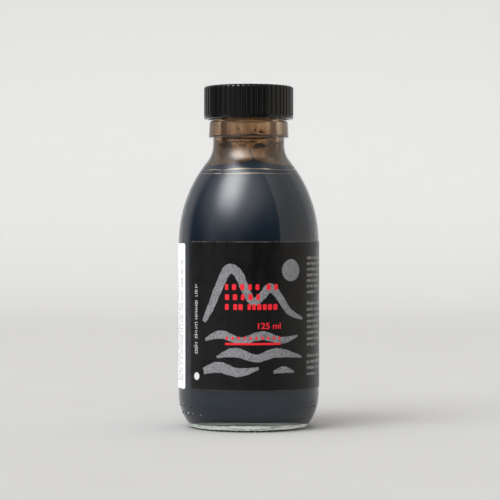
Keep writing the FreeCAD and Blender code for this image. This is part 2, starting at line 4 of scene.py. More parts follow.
import bmesh
import bpy
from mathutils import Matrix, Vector

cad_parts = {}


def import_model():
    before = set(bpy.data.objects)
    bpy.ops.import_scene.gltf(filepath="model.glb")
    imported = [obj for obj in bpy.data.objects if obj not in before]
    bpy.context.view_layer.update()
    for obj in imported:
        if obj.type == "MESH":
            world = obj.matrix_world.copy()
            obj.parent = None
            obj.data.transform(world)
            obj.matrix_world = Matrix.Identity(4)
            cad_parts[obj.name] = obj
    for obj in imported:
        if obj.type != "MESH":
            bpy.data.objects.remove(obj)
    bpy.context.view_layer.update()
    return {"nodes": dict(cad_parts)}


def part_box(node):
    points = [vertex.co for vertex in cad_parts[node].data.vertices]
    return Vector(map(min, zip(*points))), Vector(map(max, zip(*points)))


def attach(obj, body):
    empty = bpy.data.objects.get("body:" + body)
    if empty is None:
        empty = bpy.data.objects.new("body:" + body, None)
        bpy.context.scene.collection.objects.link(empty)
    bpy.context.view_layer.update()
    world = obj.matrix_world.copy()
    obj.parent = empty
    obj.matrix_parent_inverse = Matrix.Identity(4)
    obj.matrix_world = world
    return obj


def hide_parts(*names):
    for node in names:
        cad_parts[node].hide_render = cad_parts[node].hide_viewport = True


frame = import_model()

MM = 0.001

# ------------------------------------------------------------ sizes of the row
# Everything below is in millimetres; vertices are scaled to metres once.
LABEL_LO, LABEL_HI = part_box("front_label")
STICKER_LO, STICKER_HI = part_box("back_sticker")
LABEL_R = -LABEL_LO.y / MM
LABEL_BOTTOM, LABEL_TOP = LABEL_LO.z / MM, LABEL_HI.z / MM
STICKER_R = -STICKER_LO.x / MM
STICKER_BOTTOM, STICKER_TOP = STICKER_LO.z / MM, STICKER_HI.z / MM
INK_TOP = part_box("ink")[1].z / MM
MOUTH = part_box("glass_bottle")[1].z / MM
BODY_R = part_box("glass_bottle")[1].x / MM
CAP_LO, CAP_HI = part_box("cap_shell")
FLOOR = 0.352


def inner_r(z):
    """Inner radius of the glass at height z, as the frame's bottle has it."""
    if z >= 99.25:
        return 9.75
    if z >= 92.16:
        return 20.75 - math.sqrt(11.0**2 - (99.25 - z) ** 2)
    if z >= 64.5:
        return -20.45 + math.sqrt(42.9**2 - (z - 64.5) ** 2)
    return 22.45


# -------------------------------------------------------------- mesh building
class Solid:
    """Collects closed solids and makes one object of them."""

    def __init__(self):
        self.verts = []
        self.faces = []

    def add(self, verts, faces):
        k = len(self.verts)
        self.verts += verts
        self.faces += [tuple(i + k for i in f) for f in faces]

    def sheet(self, top, bottom):
        """A closed slab between two grids of points of the same size."""
        n, m = len(top), len(top[0])
        verts = [p for row in top for p in row] + [p for row in bottom for p in row]
        k = n * m
        faces = []
        for i in range(n - 1):
            for j in range(m - 1):
                a, b, c, d = i * m + j, (i + 1) * m + j, (i + 1) * m + j + 1, i * m + j + 1
                faces.append((a, b, c, d))
                faces.append((k + a, k + d, k + c, k + b))
        rim = [(0, j) for j in range(m)] + [(i, m - 1) for i in range(1, n)]
        rim += [(n - 1, j) for j in range(m - 2, -1, -1)] + [(i, 0) for i in range(n - 2, 0, -1)]
        loop = [i * m + j for i, j in rim]
        for a, b in zip(loop, loop[1:] + loop[:1]):
            faces.append((a, b, k + b, k + a))
        self.add(verts, faces)

    def ring(self, outer, inner):
        """A closed ring between two grids that run all the way round; rows go up, columns go round."""
        n, m = len(outer), len(outer[0])
        verts = [p for row in outer for p in row] + [p for row in inner for p in row]
        k = n * m
        faces = []
        for i in range(n - 1):
            for j in range(m):
                j2 = (j + 1) % m
                a, b, c, d = i * m + j, i * m + j2, (i + 1) * m + j2, (i + 1) * m + j
                faces.append((a, b, c, d))
                faces.append((k + a, k + d, k + c, k + b))
        for j in range(m):
            j2 = (j + 1) % m
            faces.append((j, k + j, k + j2, j2))
            t = (n - 1) * m
            faces.append((t + j, t + j2, k + t + j2, k + t + j))
        self.add(verts, faces)

    def turned(self, profile, steps):
        """A closed body of revolution; the profile starts and ends on the axis."""
        verts = [(0.0, 0.0, profile[0][1])]
        inner = profile[1:-1]
        for r, z in inner:
            for j in range(steps):
                a = 2 * math.pi * j / steps
                verts.append((r * math.cos(a), r * math.sin(a), z))
        verts.append((0.0, 0.0, profile[-1][1]))
        faces = []
        for j in range(steps):
            j2 = (j + 1) % steps
            faces.append((0, 1 + j2, 1 + j))
            for i in range(len(inner) - 1):
                a = 1 + i * steps
                b = a + steps
                faces.append((a + j, a + j2, b + j2, b + j))
            t = 1 + (len(inner) - 1) * steps
            faces.append((t + j, t + j2, len(verts) - 1))
        self.add(verts, faces)

    def make(self, name, material, body, smooth=None):
        mesh = bpy.data.meshes.new(name)
        mesh.from_pydata([(x * MM, y * MM, z * MM) for x, y, z in self.verts], [], self.faces)
        bm = bmesh.new()
        bm.from_mesh(mesh)
        bmesh.ops.recalc_face_normals(bm, faces=bm.faces)
        bm.to_mesh(mesh)
        bm.free()
        mesh.validate()
        obj = bpy.data.objects.new(name, mesh)
        bpy.context.scene.collection.objects.link(obj)
        mesh.materials.append(material)
        if smooth is not None:
            mesh.shade_smooth()
            mesh.set_sharp_from_angle(angle=math.radians(smooth))
        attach(obj, body)
        return obj


def wrapped(u, v, r, base_r=None):
    """A point on a film round the body: u mm along the film from its front, v mm up, at radius r."""
    a = u / (base_r or LABEL_R)
    return (r * math.sin(a), -r * math.cos(a), v)


# ------------------------------------------------------------------ materials
def new_material(name):
    m = bpy.data.materials.new(name)
    m.use_nodes = True
    nt = m.node_tree
    nt.nodes.clear()
    out = nt.nodes.new("ShaderNodeOutputMaterial")
    bsdf = nt.nodes.new("ShaderNodeBsdfPrincipled")
    nt.links.new(bsdf.outputs["BSDF"], out.inputs["Surface"])
    return m, nt, bsdf, out


def coords(nt, scale=(1, 1, 1)):
    tc = nt.nodes.new("ShaderNodeTexCoord")
    mp = nt.nodes.new("ShaderNodeMapping")
    mp.inputs["Scale"].default_value = scale
    nt.links.new(tc.outputs["Object"], mp.inputs["Vector"])
    return mp.outputs["Vector"]


def noise(nt, vector, scale, detail=2.0, rough=0.5, distortion=0.0):
    n = nt.nodes.new("ShaderNodeTexNoise")
    n.inputs["Scale"].default_value = scale
    n.inputs["Detail"].default_value = detail
    n.inputs["Roughness"].default_value = rough
    n.inputs["Distortion"].default_value = distortion
    nt.links.new(vector, n.inputs["Vector"])
    return n.outputs["Fac"]


def ranged(nt, value, a, b, lo, hi, smooth=False):
    r = nt.nodes.new("ShaderNodeMapRange")
    r.inputs["From Min"].default_value = a
    r.inputs["From Max"].default_value = b
    r.inputs["To Min"].default_value = lo
    r.inputs["To Max"].default_value = hi
    if smooth:
        r.interpolation_type = "SMOOTHSTEP"
    nt.links.new(value, r.inputs["Value"])
    return r.outputs["Result"]


def mixed(nt, factor, a, b):
    m = nt.nodes.new("ShaderNodeMix")
    m.data_type = "RGBA"
    for socket, value in ((m.inputs[0], factor), (m.inputs[6], a), (m.inputs[7], b)):
        if isinstance(value, bpy.types.NodeSocket):
            nt.links.new(value, socket)
        else:
            socket.default_value = value if not isinstance(value, tuple) else (*value, 1.0)[:4]
    return m.outputs[2]


def maths(nt, op, a, b=None):
    m = nt.nodes.new("ShaderNodeMath")
    m.operation = op
    for i, value in enumerate((a, b)):
        if value is None:
            continue
        if isinstance(value, bpy.types.NodeSocket):
            nt.links.new(value, m.inputs[i])
        else:
            m.inputs[i].default_value = value
    return m.outputs[0]


def bump(nt, bsdf, height, distance, strength=1.0):
    b = nt.nodes.new("ShaderNodeBump")
    b.inputs["Distance"].default_value = distance
    b.inputs["Strength"].default_value = strength
    nt.links.new(height, b.inputs["Height"])
    nt.links.new(b.outputs["Normal"], bsdf.inputs["Normal"])


def object_axis(nt, axis):
    tc = nt.nodes.new("ShaderNodeTexCoord")
    sp = nt.nodes.new("ShaderNodeSeparateXYZ")
    nt.links.new(tc.outputs["Object"], sp.inputs[0])
    return sp.outputs[axis]


def glass_material():
    m, nt, b, _ = new_material("glass_clear")
    b.inputs["Base Color"].default_value = (0.955, 0.985, 0.965, 1)
    b.inputs["Transmission Weight"].default_value = 1.0
    b.inputs["IOR"].default_value = 1.52
    v = coords(nt)
    smears = noise(nt, v, 55, 4, 0.6, 0.6)
    nt.links.new(ranged(nt, smears, 0.45, 0.8, 0.0, 0.03), b.inputs["Roughness"])
    # drawn, slightly wavy walls of a blown container
    slow = noise(nt, coords(nt, (1, 1, 0.45)), 70, 1.5, 0.4)
    fine = noise(nt, v, 420, 2, 0.5)
    bump(nt, b, maths(nt, "ADD", slow, maths(nt, "MULTIPLY", fine, 0.012)), 0.00010)
    return m


def ink_material():
    m, nt, b, _ = new_material("ink_liquid")
    v = coords(nt, (1, 1, 0.35))
    swirl = noise(nt, v, 60, 4, 0.55, 1.2)
    col = mixed(nt, ranged(nt, swirl, 0.3, 0.7, 0, 1), (0.0060, 0.0160, 0.0310), (0.0085, 0.0205, 0.0385))
    nt.links.new(col, b.inputs["Base Color"])
    nt.links.new(ranged(nt, swirl, 0.2, 0.8, 0.10, 0.20), b.inputs["Roughness"])
    b.inputs["Specular IOR Level"].default_value = 0.12
    b.inputs["IOR"].default_value = 1.33
    return m


def residue_material():
    m, nt, b, _ = new_material("ink_dried")
    v = coords(nt)
    n = noise(nt, v, 900, 4, 0.6, 0.5)
    col = mixed(nt, ranged(nt, n, 0.35, 0.7, 0, 1), (0.004, 0.005, 0.008), (0.022, 0.015, 0.010))
    nt.links.new(col, b.inputs["Base Color"])
    nt.links.new(ranged(nt, n, 0.2, 0.8, 0.25, 0.5), b.inputs["Roughness"])
    bump(nt, b, n, 0.00003)
    return m


def film_material():
    """A see-through brown film of dried ink on the inside of the glass."""
    m, nt, b, out = new_material("ink_film")
    drained = noise(nt, coords(nt, (1, 1, 0.12)), 520, 4, 0.65, 0.3)
    cloud = noise(nt, coords(nt), 150, 3, 0.6, 0.8)
    grit = noise(nt, coords(nt), 1700, 2, 0.6)
    amount = maths(nt, "ADD", maths(nt, "MULTIPLY", drained, 0.72), maths(nt, "MULTIPLY", cloud, 0.38))
    # thicker low in the neck, where the ink drains to, and thin inside the bead
    height = ranged(nt, object_axis(nt, 2), 0.0985, 0.1020, 0.13, -0.07, True)
    amount = maths(nt, "ADD", amount, height)
    thick = ranged(nt, amount, 0.36, 0.72, 0, 1)
    see = nt.nodes.new("ShaderNodeBsdfTransparent")
    lw = nt.nodes.new("ShaderNodeLayerWeight")
    lw.inputs["Blend"].default_value = 0.5
    z = object_axis(nt, 2)
    bead = ranged(nt, z, 0.0985, 0.1020, 0, 1, True)
    turned = maths(nt, "SUBTRACT", lw.outputs["Facing"], maths(nt, "MULTIPLY", bead, 0.12))
    slant = ranged(nt, turned, 0.16, 0.34, 0, 1, True)
    tint = mixed(nt, thick, (0.99, 0.92, 0.81), (0.72, 0.56, 0.40))
    # inside the bead the film's tint is darker low down and paler high up: painted shade at the bottom of the bead,
    # painted light at its top
    bead_shaded_tint = mixed(nt, thick, (0.92, 0.80, 0.69), (0.74, 0.57, 0.43))
    bead_lit_tint = mixed(nt, thick, (1.0, 0.91, 0.80), (0.88, 0.71, 0.55))
    bead_painted_light_tint = mixed(nt, ranged(nt, z, 0.1024, 0.1056, 0, 1, True), bead_shaded_tint, bead_lit_tint)
    tint = mixed(nt, bead, tint, bead_painted_light_tint)
    edge = mixed(nt, bead, (0.27, 0.195, 0.13), (0.44, 0.315, 0.21))
    nt.links.new(mixed(nt, slant, tint, edge), see.inputs["Color"])
    col = mixed(nt, ranged(nt, grit, 0.35, 0.7, 0, 1), (0.16, 0.085, 0.04), (0.30, 0.19, 0.11))
    # behind the bead it has dried in an even, cloudy coat
    coat = ranged(nt, object_axis(nt, 2), 0.1006, 0.1020, 0, 1, True)
    pale = mixed(nt, ranged(nt, grit, 0.35, 0.7, 0, 1), (0.84, 0.50, 0.28), (0.98, 0.70, 0.44))
    nt.links.new(col, b.inputs["Base Color"])
    b.inputs["Roughness"].default_value = 0.6
    b.inputs["Specular IOR Level"].default_value = 0.2
    mix = nt.nodes.new("ShaderNodeMixShader")
    veil = nt.nodes.new("ShaderNodeBsdfTranslucent")
    nt.links.new(pale, veil.inputs["Color"])
    milky = nt.nodes.new("ShaderNodeMixShader")
    nt.links.new(maths(nt, "MULTIPLY", coat, ranged(nt, cloud, 0.3, 0.7, 0.10, 0.24)), milky.inputs[0])
    nt.links.new(see.outputs[0], milky.inputs[1])
    nt.links.new(veil.outputs[0], milky.inputs[2])
    nt.links.new(ranged(nt, amount, 0.36, 0.75, 0.04, 0.22), mix.inputs[0])
    nt.links.new(milky.outputs[0], mix.inputs[1])
    nt.links.new(b.outputs[0], mix.inputs[2])
    nt.links.new(mix.outputs[0], out.inputs["Surface"])
    return m


def frost_glow_material():
    """Stippled glass seen through the foot: pale, a little green, with darker streaks along it; it also gives off a
    faint painted glow.
    """
    m, nt, b, _ = new_material("glass_frost_glow")
    streak = noise(nt, coords(nt, (1, 1, 9)), 190, 4, 0.65, 0.5)
    fine = noise(nt, coords(nt), 900, 3, 0.6)
    col = mixed(nt, ranged(nt, streak, 0.40, 0.56, 0, 1), (0.40, 0.44, 0.41), (0.97, 0.99, 0.92))
    col = mixed(nt, ranged(nt, fine, 0.60, 0.80, 0, 0.5), col, (0.20, 0.24, 0.22))
    nt.links.new(col, b.inputs["Base Color"])
    # painted glow: the ring gives off a faint light in its own colour, in place of the light that is trapped between
    # this ring and the glass round it
    nt.links.new(col, b.inputs["Emission Color"])
    b.inputs["Emission Strength"].default_value = 0.30
    nt.links.new(ranged(nt, fine, 0.3, 0.7, 0.25, 0.5), b.inputs["Roughness"])
    bump(nt, b, fine, 0.00008)
    return m


def gold_material():
    """The thinnest of the dried film, where it lights up tan."""
    m, nt, b, _ = new_material("ink_gold")
    n = noise(nt, coords(nt, (1, 1, 0.5)), 130, 3, 0.6, 0.6)
    fine = noise(nt, coords(nt), 1200, 3, 0.6)
    col = mixed(nt, ranged(nt, n, 0.40, 0.60, 0, 1), (0.055, 0.042, 0.030), (0.60, 0.47, 0.33))
    nt.links.new(mixed(nt, ranged(nt, fine, 0.55, 0.75, 0, 0.6), col, (0.05, 0.04, 0.03)), b.inputs["Base Color"])
    nt.links.new(ranged(nt, fine, 0.3, 0.7, 0.3, 0.5), b.inputs["Roughness"])
    bump(nt, b, fine, 0.00002)
    return m


def cap_material():
    m, nt, b, _ = new_material("cap_plastic")
    v = coords(nt)
    n = noise(nt, v, 900, 3, 0.6)
    big = noise(nt, v, 90, 3, 0.5)
    col = mixed(nt, ranged(nt, big, 0.35, 0.7, 0, 1), (0.0012, 0.0012, 0.0012), (0.0028, 0.0026, 0.0023))
    # handling wear and dust, a little more towards the lower rim
    low = ranged(nt, object_axis(nt, 2), CAP_LO.z, CAP_LO.z + 0.0012, 0.6, 0.0, True)
    dust = maths(nt, "MULTIPLY", ranged(nt, n, 0.62, 0.78, 0, 1), maths(nt, "ADD", low, 0.12))
    col = mixed(nt, dust, col, (0.10, 0.095, 0.085))
    nt.links.new(col, b.inputs["Base Color"])
    nt.links.new(ranged(nt, maths(nt, "ADD", maths(nt, "MULTIPLY", n, 0.5), maths(nt, "MULTIPLY", big, 0.5)), 0.3, 0.7, 0.06, 0.15), b.inputs["Roughness"])
    b.inputs["IOR"].default_value = 1.48
    bump(nt, b, n, 0.000004)
    return m


def facing_material():
    m, nt, b, _ = new_material("liner_film")
    v = coords(nt)
    n = noise(nt, v, 260, 4, 0.6, 0.5)
    # a stained ring where the mouth of the bottle presses
    tc = nt.nodes.new("ShaderNodeTexCoord")
    mul = nt.nodes.new("ShaderNodeVectorMath")
    mul.operation = "MULTIPLY"
    mul.inputs[1].default_value = (1, 1, 0)
    ln = nt.nodes.new("ShaderNodeVectorMath")
    ln.operation = "LENGTH"
    nt.links.new(tc.outputs["Object"], mul.inputs[0])
    nt.links.new(mul.outputs[0], ln.inputs[0])
    ring = ranged(nt, maths(nt, "ABSOLUTE", maths(nt, "SUBTRACT", ln.outputs["Value"], 0.0105)), 0.0002, 0.0011, 1, 0, True)
    stain = maths(nt, "MULTIPLY", ring, ranged(nt, n, 0.35, 0.6, 0.15, 0.95))
    col = mixed(nt, ranged(nt, n, 0.3, 0.7, 0, 1), (0.72, 0.71, 0.68), (0.80, 0.79, 0.77))
    nt.links.new(mixed(nt, stain, col, (0.05, 0.035, 0.03)), b.inputs["Base Color"])
    nt.links.new(ranged(nt, n, 0.3, 0.7, 0.35, 0.5), b.inputs["Roughness"])
    bump(nt, b, n, 0.00003)
    return m


def backing_material():
    m, nt, b, _ = new_material("liner_board")
    v = coords(nt, (1, 1, 3))
    n = noise(nt, v, 1500, 5, 0.65, 0.8)
    w = noise(nt, v, 300, 3, 0.6)
    col = mixed(nt, ranged(nt, n, 0.3, 0.7, 0, 1), (0.36, 0.31, 0.24), (0.52, 0.47, 0.38))
    nt.links.new(mixed(nt, ranged(nt, w, 0.4, 0.7, 0, 0.5), col, (0.42, 0.37, 0.30)), b.inputs["Base Color"])
    nt.links.new(ranged(nt, n, 0.3, 0.7, 0.75, 0.95), b.inputs["Roughness"])
    bump(nt, b, n, 0.00005)
    return m


def label_material():
    m, nt, b, _ = new_material("label_paper_black")
    v = coords(nt)
    grain = noise(nt, v, 2600, 3, 0.65)
    patch = noise(nt, coords(nt, (1, 1, 0.6)), 260, 4, 0.6, 0.5)
    col = mixed(nt, ranged(nt, patch, 0.35, 0.7, 0, 1), (0.0014, 0.0014, 0.0015), (0.0040, 0.0038, 0.0037))
    col = mixed(nt, ranged(nt, grain, 0.60, 0.80, 0, 0.55), col, (0.018, 0.018, 0.018))
    # the black layer is rubbed through to the paper along the cut edges
    z = object_axis(nt, 2)
    top = ranged(nt, z, LABEL_TOP * MM - 0.00032, LABEL_TOP * MM - 0.00010, 0, 1, True)
    low = ranged(nt, z, LABEL_BOTTOM * MM + 0.00010, LABEL_BOTTOM * MM + 0.00025, 1, 0, True)
    rub = maths(nt, "MULTIPLY", maths(nt, "ADD", maths(nt, "MULTIPLY", top, 0.85), maths(nt, "MULTIPLY", low, 0.35)), ranged(nt, noise(nt, v, 700, 3, 0.6), 0.35, 0.65, 0.15, 1.0))
    col = mixed(nt, rub, col, (0.16, 0.155, 0.15))
    nt.links.new(col, b.inputs["Base Color"])
    nt.links.new(ranged(nt, patch, 0.3, 0.7, 0.24, 0.36), b.inputs["Roughness"])
    b.inputs["IOR"].default_value = 1.45
    b.inputs["Specular IOR Level"].default_value = 0.30
    bump(nt, b, maths(nt, "ADD", grain, maths(nt, "MULTIPLY", patch, 1.5)), 0.000012)
    return m


def sticker_material():
    m, nt, b, _ = new_material("sticker_paper_white")
    v = coords(nt)
    grain = noise(nt, v, 2400, 3, 0.6)
    patch = noise(nt, v, 120, 4, 0.6, 0.6)
    col = mixed(nt, ranged(nt, patch, 0.3, 0.7, 0, 1), (0.84, 0.84, 0.845), (0.90, 0.90, 0.895))
    z = object_axis(nt, 2)
    edge = maths(nt, "ADD", ranged(nt, z, STICKER_TOP * MM - 0.0012, STICKER_TOP * MM, 0, 1, True), ranged(nt, z, STICKER_BOTTOM * MM, STICKER_BOTTOM * MM + 0.0012, 1, 0, True))
    soil = maths(nt, "MULTIPLY", edge, ranged(nt, noise(nt, v, 500, 4, 0.6), 0.45, 0.75, 0.0, 0.35))
    nt.links.new(mixed(nt, soil, col, (0.45, 0.43, 0.41)), b.inputs["Base Color"])
    nt.links.new(ranged(nt, patch, 0.3, 0.7, 0.35, 0.5), b.inputs["Roughness"])
    bump(nt, b, grain, 0.000012)
    return m


def print_material(name, dark, light, lo, hi, rough=0.42, scale=3300):
    """Printing ink: a fine screen of two tones."""
    m, nt, b, _ = new_material(name)
    v = coords(nt)
    n = noise(nt, v, scale, 2, 0.6)
    slow = noise(nt, v, 260, 3, 0.6)
    col = mixed(nt, ranged(nt, n, lo, hi, 0, 1), dark, light)
    nt.links.new(mixed(nt, ranged(nt, slow, 0.35, 0.7, 0.0, 0.22), col, tuple(0.72 * c for c in light)), b.inputs["Base Color"])
    nt.links.new(ranged(nt, n, 0.3, 0.7, rough - 0.06, rough + 0.08), b.inputs["Roughness"])
    bump(nt, b, n, 0.000006)
    return m


def floor_material():
    m, nt, b, out = new_material("studio_floor")
    n = noise(nt, coords(nt), 14, 4, 0.5)
    near = mixed(nt, ranged(nt, n, 0.3, 0.7, 0, 1), (FLOOR - 0.006, FLOOR - 0.009, FLOOR - 0.012), (FLOOR + 0.006, FLOOR + 0.003, FLOOR - 0.004))
    # the wall is a shade paler than the floor
    wall = ranged(nt, object_axis(nt, 1), 0.6, 1.5, 0, 1, True)
    nt.links.new(mixed(nt, wall, near, (FLOOR * 1.17, FLOOR * 1.163, FLOOR * 1.145)), b.inputs["Base Color"])
    nt.links.new(ranged(nt, n, 0.3, 0.7, 0.85, 0.95), b.inputs["Roughness"])
    b.inputs["Specular IOR Level"].default_value = 0.1
    # the paper ends softly in front of the bottle, where the studio is dark
    clear = nt.nodes.new("ShaderNodeBsdfTransparent")
    mix = nt.nodes.new("ShaderNodeMixShader")
    front = ranged(nt, object_axis(nt, 1), -0.55, -0.27, 1, 0, True)
    sides = ranged(nt, maths(nt, "ABSOLUTE", object_axis(nt, 0)), 0.55, 1.9, 0, 1, True)
    nt.links.new(maths(nt, "MAXIMUM", front, sides), mix.inputs[0])
    nt.links.new(b.outputs[0], mix.inputs[1])
    nt.links.new(clear.outputs[0], mix.inputs[2])
    nt.links.new(mix.outputs[0], out.inputs["Surface"])
    return m


GLASS = glass_material()
INK = ink_material()
RESIDUE = residue_material()
FILM = film_material()
FROST_GLOW = frost_glow_material()
GOLD = gold_material()
RED = print_material("print_red", (0.62, 0.004, 0.012), (0.80, 0.008, 0.022), 0.35, 0.65)
GREY = print_material("print_grey", (0.065, 0.066, 0.070), (0.27, 0.272, 0.285), 0.42, 0.58, 0.5)
WHITE = print_material("print_white", (0.45, 0.45, 0.45), (0.74, 0.74, 0.73), 0.35, 0.65)
FAINT = print_material("print_faint", (0.30, 0.295, 0.285), (0.52, 0.51, 0.49), 0.35, 0.65)
SLATE = print_material("print_slate", (0.07, 0.07, 0.10), (0.16, 0.16, 0.21), 0.35, 0.65)

for node, material in (
    ("glass_bottle", GLASS),
    ("cap_shell", cap_material()),
    ("liner_facing", facing_material()),
    ("liner_backing", backing_material()),
    ("front_label", label_material()),
    ("back_sticker", sticker_material()),
):
    o = frame["nodes"][node]
    for i in range(len(o.data.materials)):
        o.data.materials[i] = material


# ------------------------------------------------------------------------ ink
def ink_profile():
    """The liquid's outline; it wets the glass, so it reaches a hair into the wall."""
    wet = 0.07
    pts = [(0.0, 6.4 - wet)]
    big = 58.62
    for i in range(1, 17):
        r = 15.55 * i / 16
        pts.append((r, 6.4 - big + math.sqrt(big * big - r * r) - wet))
    for i in range(1, 17):
        a = math.radians(-90 + 90 * i / 16)
        pts.append((15.55 + (6.9 + wet) * math.cos(a), 11.2 + (6.9 + wet) * math.sin(a)))
    for i in range(1, 9):
        pts.append((22.45 + wet, 11.2 + (64.5 - 11.2) * i / 8))
    lip = INK_TOP + 0.16
    for i in range(1, 33):
        z = 64.5 + (lip - 64.5) * i / 32
        pts.append((inner_r(z) + wet, z))
    edge = pts[-1][0]
    # the meniscus climbs the wall and falls off within a few millimetres
    for i in range(1, 15):
        d = 3.6 * (i / 14) ** 1.6
        pts.append((edge - wet - d, lip - 0.75 * (1 - math.exp(-d / 1.1))))
    flat = pts[-1][1]
    for i in range(1, 6):
        pts.append((pts[-1][0] - (edge - 3.7) / 6, flat))
    pts.append((0.0, flat))
    return pts


s = Solid()
s.turned(ink_profile(), 288)
ink = s.make("ink_body", INK, "bottle", smooth=40)
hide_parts("ink")


def wave(a, terms):
    return sum(k * math.sin(n * a + p) for n, k, p in terms)


def wall_ring(name, material, low, high, rows, into, off, columns=288):
    """A thin closed film on the inside of the glass between two wavy heights."""
    outer, inner = [], []
    for i in range(rows + 1):
        k = i / rows
        bulge = math.sin(math.pi * k) ** 0.6
        o, n = [], []
        for j in range(columns):
            a = 2 * math.pi * j / columns
            z = low(a) + (high(a) - low(a)) * k
            r = inner_r(z)
            ro, rn = r + into, r - (0.02 + off * bulge)
            o.append((ro * math.sin(a), -ro * math.cos(a), z))
            n.append((rn * math.sin(a), -rn * math.cos(a), z))
        outer.append(o)
        inner.append(n)
    s = Solid()
    s.ring(outer, inner)
    return s.make(name, material, "bottle", smooth=50)


def front_peak(a, centre, height, width):
    d = (a - math.radians(centre) + math.pi) % (2 * math.pi) - math.pi
    d = abs(math.degrees(d))
    return height * math.exp(-((d / width) ** 1.1))


# brown film all over the headspace
wall_ring(
    "ink_film",
    FILM,
    lambda a: INK_TOP + 0.05,
    lambda a: MOUTH - 1.0 + wave(a, [(3, 0.12, 0.4), (7, 0.05, 1.1)]),
    72,
    0.012,
    0.012,
)
def swell(a, *bumps):
    """Sum of smooth bumps round the bottle, each (centre, half width, size) in degrees and mm."""
    total = 0.0
    for centre, width, size in bumps:
        d = (a - math.radians(centre) + math.pi) % (2 * math.pi) - math.pi
        total += size * math.exp(-((math.degrees(d) / width) ** 2))
    return total


def gap_low(a):
    return INK_TOP + 0.26 + wave(a, [(2, 0.04, 2.2), (5, 0.03, 0.3)]), 0.06 + swell(a, (5, 15, 0.40), (-38, 7, 0.14), (118, 24, 0.35), (205, 20, 0.30), (262, 9, 0.2))


def gap_high(a):
    return INK_TOP + 1.62 + wave(a, [(2, 0.13, 1.15), (3, 0.08, 2.05), (7, 0.03, 0.5)]) - swell(a, (-34, 9, 0.25)), 0.07 + swell(a, (-13, 17, 0.42), (21, 9, 0.30), (-50, 8, 0.18), (96, 22, 0.4), (170, 16, 0.35), (238, 24, 0.4))


# thick wet bands left by the last time the bottle was tilted, with bright gaps between them
wall_ring(
    "ink_band_low",
    INK,
    lambda a: gap_low(a)[0] + gap_low(a)[1],
    lambda a: gap_high(a)[0],
    8,
    0.03,
    0.06,
)
wall_ring(
    "ink_band_high",
    INK,
    lambda a: gap_high(a)[0] + gap_high(a)[1],
    lambda a: INK_TOP + 3.15 + wave(a, [(2, 0.18, 2.4), (3, 0.16, 0.6), (7, 0.05, 0.2)]) + front_peak(a, 6.5, 1.6, 26.0),
    10,
    0.03,
    0.05,
)
# thin golden film left in the two gaps
for name, gap in (("ink_gold_low", gap_low), ("ink_gold_high", gap_high)):
    wall_ring(
        name,
        GOLD,
        lambda a, gap=gap: gap(a)[0] - 0.03,
        lambda a, gap=gap: gap(a)[0] + gap(a)[1] + 0.03,
        4,
        0.02,
        0.01,
    )


def wall_point(theta, z, r_off):
    r = inner_r(z) + r_off
    a = math.radians(theta)
    return (r * math.sin(a), -r * math.cos(a), z)


def run(s, path, widths, thick=0.10):
    """A run of ink down the wall: points (angle, z) along it, half-widths in mm."""
    top, bottom = [], []
    for (theta, z), w in zip(path, widths):
        rt, rb = [], []
        for j in range(7):
            k = j / 3.0 - 1.0
            dt = math.degrees(w * k / inner_r(z))
            h = 0.015 + thick * (1 - k * k) * min(1.0, w / 0.25)
            rt.append(wall_point(theta + dt, z, -h))
            rb.append(wall_point(theta + dt, z, 0.03))
        top.append(rt)
        bottom.append(rb)
    s.sheet(top, bottom)


def blotch(s, rng, theta, z, half_w, half_h, thick=0.08):
    """An irregular dried spot: half sizes in mm."""
    n = 14
    top, bottom = [], []
    p = [rng.uniform(0, 6.28) for _ in range(4)]
    for i in range(n + 1):
        k = -1 + 2 * i / n
        x = half_w * k
        h = half_h * math.sqrt(max(0.0, 1 - k * k)) ** 0.8 + 0.02
        up = h * (1 + 0.30 * math.sin(5 * k + p[0]) + 0.18 * math.sin(11 * k + p[1]))
        dn = h * (1 + 0.30 * math.sin(4 * k + p[2]) + 0.18 * math.sin(9 * k + p[3]))
        rt, rb = [], []
        for j in range(7):
            q = j / 6.0
            zz = z - dn + (up + dn) * q
            dt = math.degrees(x / inner_r(zz))
            hh = 0.015 + thick * math.sin(math.pi * q) * max(0.05, 1 - k * k)
            rt.append(wall_point(theta + dt, zz, -hh))
            rb.append(wall_point(theta + dt, zz, 0.03))
        top.append(rt)
        bottom.append(rb)
    s.sheet(top, bottom)


# a dark ring of the dried-ink material just below the bead: painted shade for the dark line that the bead's underside
# makes in the glass
wall_ring(
    "bead_shade_ring",
    RESIDUE,
    lambda a: 100.95 + wave(a, [(2, 0.05, 0.7), (5, 0.04, 0.2), (11, 0.03, 1.0)]),
    lambda a: 101.75 + wave(a, [(3, 0.08, 1.7), (6, 0.05, 0.9), (13, 0.04, 0.1)]),
    6,
    0.03,
    0.04,
)


def heel_r(z):
    """Outer radius of the foot of the glass, between the bearing ring and the straight body."""
    return 6.55 + math.sqrt(18.0**2 - (12.0 - z) ** 2)


# the foot of the glass, where mould marks and the thick base gather the light: a pale stippled ring in the glass,
# which also carries a painted glow
outer, inner = [], []
for i in range(9):
    k = i / 8
    o, n = [], []
    for j in range(360):
        a = 2 * math.pi * j / 360
        high = 2.55 + wave(a, [(3, 0.14, 0.4), (5, 0.10, 2.0), (17, 0.05, 0.0), (41, 0.04, 1.0)])
        z = 0.72 + (high - 0.72) * k
        r = heel_r(0.72) - 0.30 - 0.75 * k**1.5
        o.append((r * math.sin(a), -r * math.cos(a), z))
        r -= 0.75 * math.sin(math.pi * (0.08 + 0.84 * k))
        n.append((r * math.sin(a), -r * math.cos(a), z))
    outer.append(o)
    inner.append(n)
s = Solid()
s.ring(outer, inner)
s.make("foot_frost_glow", FROST_GLOW, "bottle", smooth=50)

